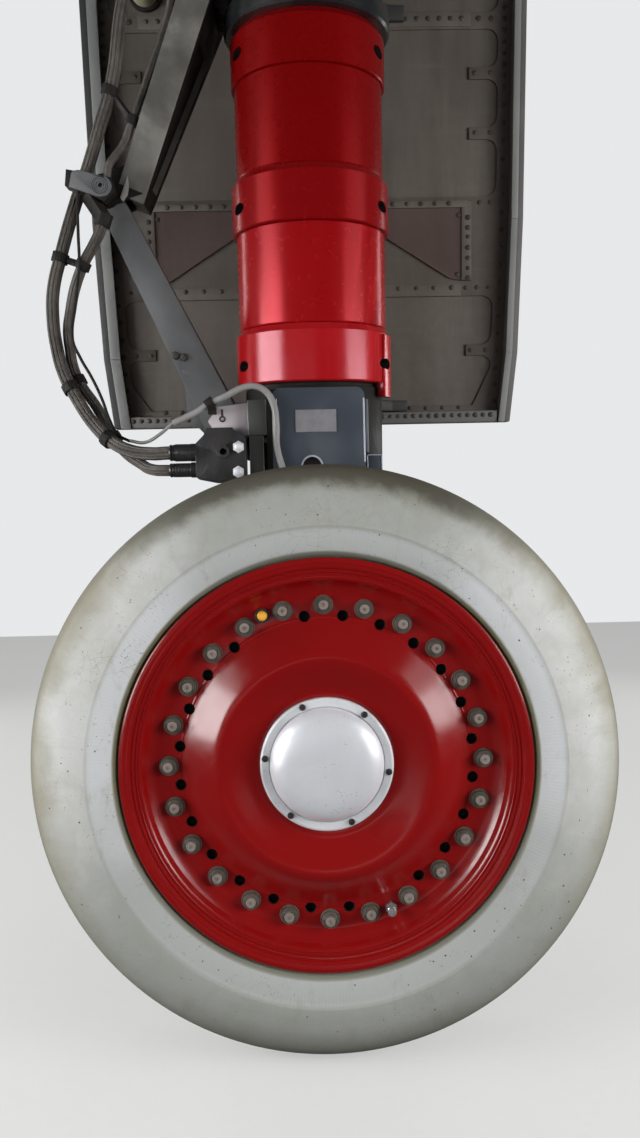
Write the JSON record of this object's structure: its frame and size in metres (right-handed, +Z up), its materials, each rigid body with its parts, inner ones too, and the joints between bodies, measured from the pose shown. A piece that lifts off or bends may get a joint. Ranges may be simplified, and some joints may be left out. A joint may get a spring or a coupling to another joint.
{
  "type": "aircraft main landing gear leg",
  "caption": "Upright shock strut with collars, torque links, brake lines, a single braked wheel on a stub axle and a flat leg door behind the strut.",
  "frame": {"origin": "centre of the trunnion's left end face, at the top of the leg", "axes": "+Z up, the axle runs along Y and the wheel's outer face looks towards -Y, the torque links stand towards -X and the door lies behind the strut towards +Y"},
  "size_m": [0.8229, 0.6118, 2.088],
  "materials": {
    "tyre": "chalky, weathered",
    "red": "gloss red enamel",
    "cap_silver": "silver paint, satin",
    "steel": "dull, dirty",
    "black": "gloss black enamel",
    "slate": "slate grey enamel, satin",
    "link_grey": "grey enamel, satin",
    "door_grey": "grey primer, matt",
    "chrome": "polished",
    "hose": "dusty rubber with a woven sleeve",
    "plug": "orange yellow paint",
    "plate": "dull, blank"
  },
  "bodies": {
    "leg": {"axle": "chrome", "brake_housing": "slate", "brake_stack": "steel", "axle_housing": "slate", "blank_plate": "plate", "jack_pad": "steel", "collar_lower": "red", "sleeve_lower": "red", "collar_middle": "red", "sleeve_upper": "red", "collar_upper": "red", "piston": "chrome", "gland_ring": "black", "outer_cylinder": "black", "trunnion_beam": "chrome", "lower_torque_link": "link_grey", "upper_torque_link": "link_grey", "knee_pin": "steel", "upper_link_pin": "steel", "lower_link_pin": "steel", "knee_block": "link_grey", "hose_main": "hose", "hose_inner": "hose", "hose_upper": "hose", "hose_clamp_upper": "black", "hose_clamp_middle": "black", "hose_clamp_lower": "black", "hose_clamp_foot": "black", "brake_conduit": "link_grey", "box_bracket": "link_grey", "triangle_plate": "link_grey", "conduit_clip": "black", "brake_manifold": "black", "manifold_cap_upper": "cap_silver", "manifold_cap_lower": "cap_silver", "door_skin": "door_grey", "door_beam_left": "door_grey", "door_beam_right": "door_grey", "door_beam_bottom": "door_grey", "door_beam_top": "door_grey", "door_doubler": "door_grey", "door_stiffener": "door_grey", "door_yoke_lower": "link_grey", "door_yoke_upper": "link_grey"},
    "wheel": {"tyre": "tyre", "wheel_outer_half": "red", "wheel_inner_half": "red", "hub_cap": "cap_silver", "hub_cap_ring": "cap_silver", "filler_plug": "plug", "inflation_valve": "chrome"}
  },
  "joints": [
    {"name": "wheel_spin", "type": "hinge", "parent": "leg", "child": "wheel", "pos_m": [0.19, -0.14135, -1.62946], "axis": [0, 1, 0], "continuous": true}
  ]
}
